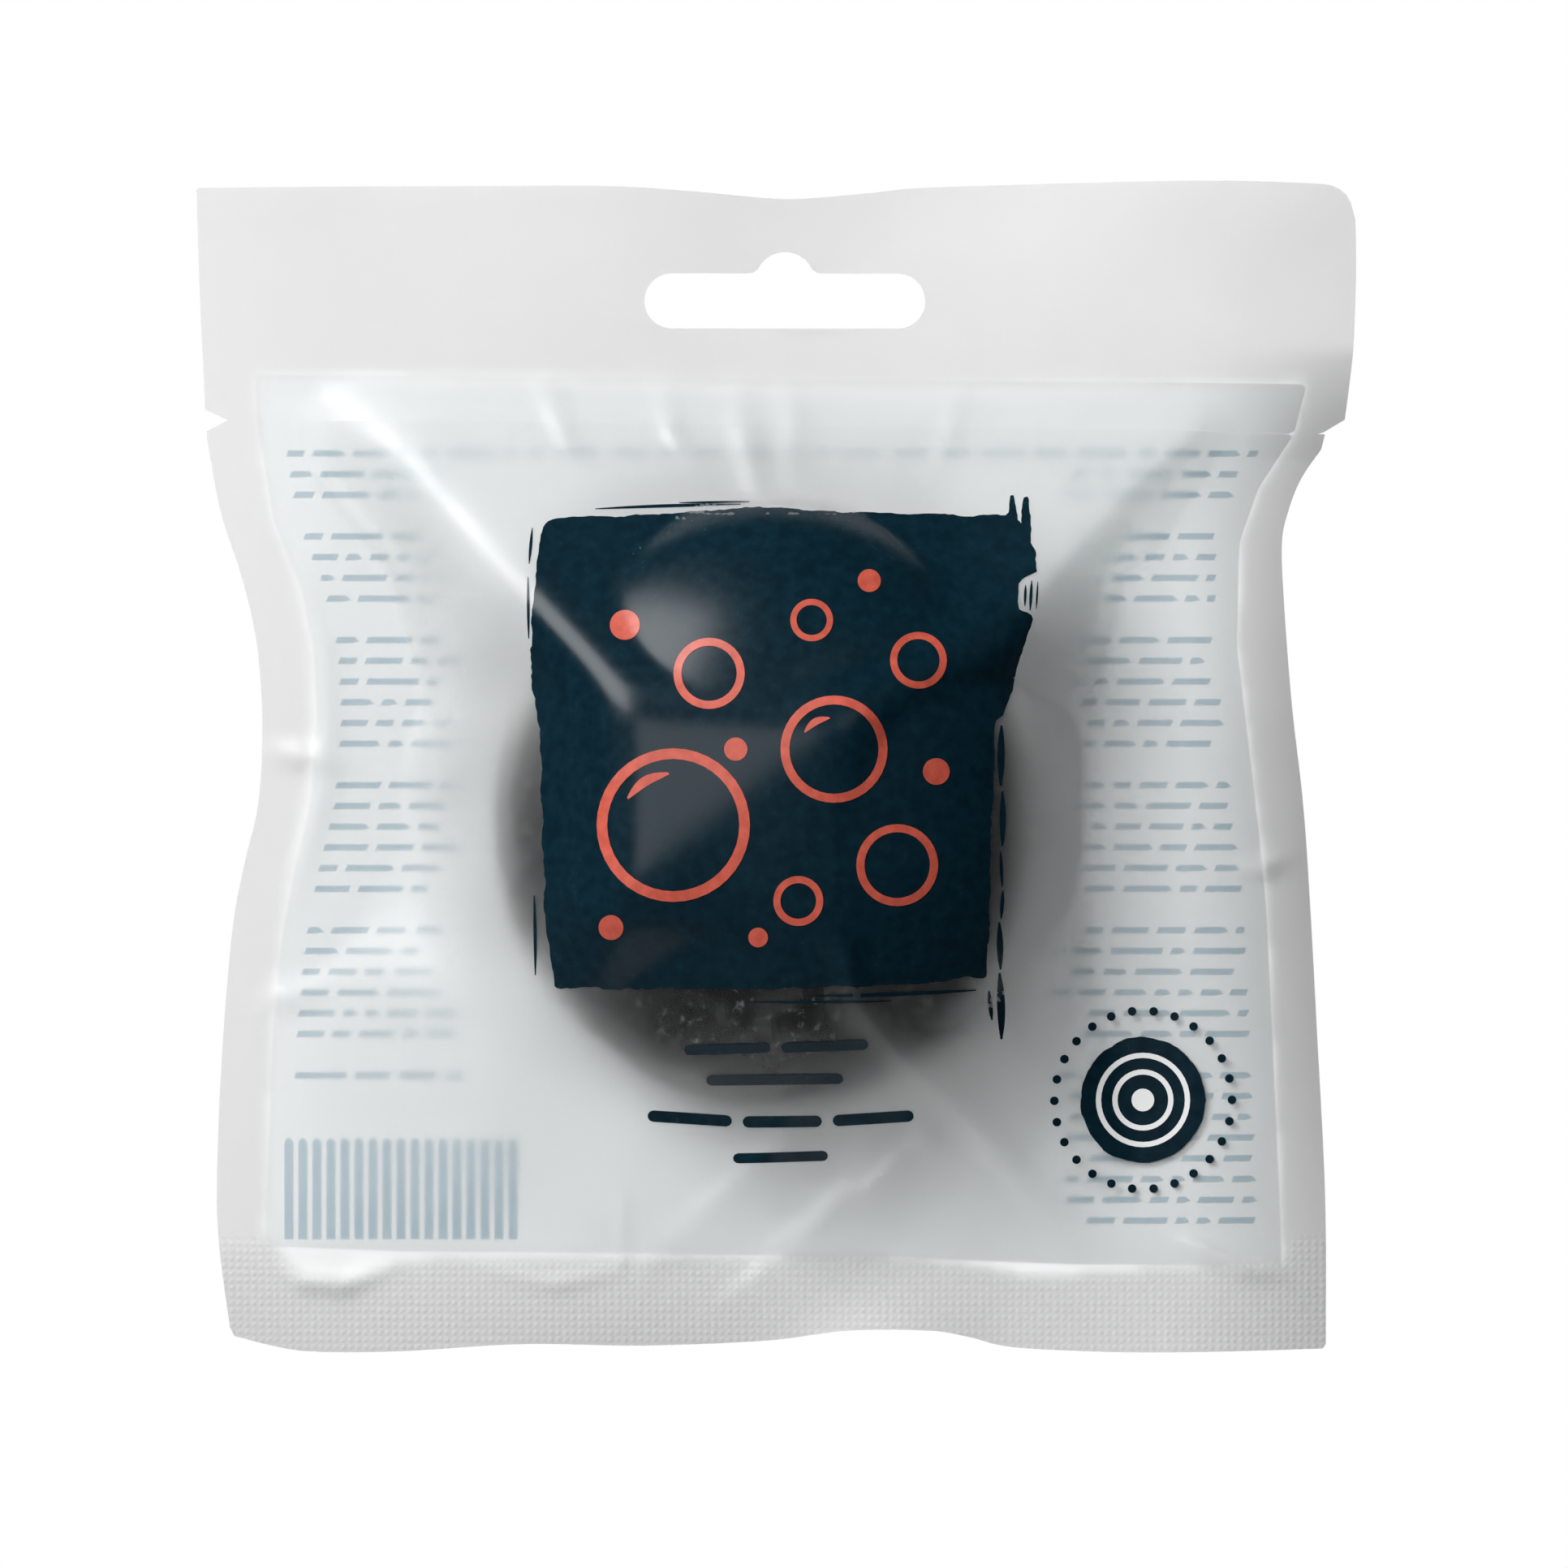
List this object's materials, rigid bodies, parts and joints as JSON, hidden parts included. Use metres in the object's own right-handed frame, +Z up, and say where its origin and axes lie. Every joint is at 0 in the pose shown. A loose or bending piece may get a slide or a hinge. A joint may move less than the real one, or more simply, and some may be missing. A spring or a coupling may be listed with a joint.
{
  "type": "konjac sponge in a hang pouch",
  "caption": "Charcoal konjac half-ball sponge held loosely in a frosted heat-sealed film pouch with a euro hang slot, tear notches, a tear-off header and plain printed panels.",
  "frame": {"origin": "centre of the hang slot's hump, in the plane where the front and back films are welded", "axes": "+X to the right across the pouch, +Y from the front film to the back film, +Z up as it hangs"},
  "size_m": [0.1325, 0.0295, 0.1338],
  "materials": {
    "frosted_film": "frosted, satin",
    "konjac": "matt, porous",
    "navy_ink": "satin ink",
    "white_ink": "matt ink"
  },
  "bodies": {
    "pouch": {"front_film": "frosted_film", "back_film": "frosted_film", "block_print": "navy_ink", "badge_print": "navy_ink", "panel_print": "white_ink"},
    "header_strip": {"header_front_film": "frosted_film", "header_back_film": "frosted_film", "header_panel_print": "white_ink"},
    "sponge_ball": {"sponge": "konjac"}
  },
  "joints": [
    {"name": "header_tear", "type": "hinge", "parent": "pouch", "child": "header_strip", "pos_m": [0.0619, 0, -0.0173], "axis": [0, 1, 0], "range_deg": [0, 100]},
    {"name": "sponge_shift", "type": "slide", "parent": "pouch", "child": "sponge_ball", "axis": [0, 0, 1], "range_m": [0, 0.006]}
  ]
}
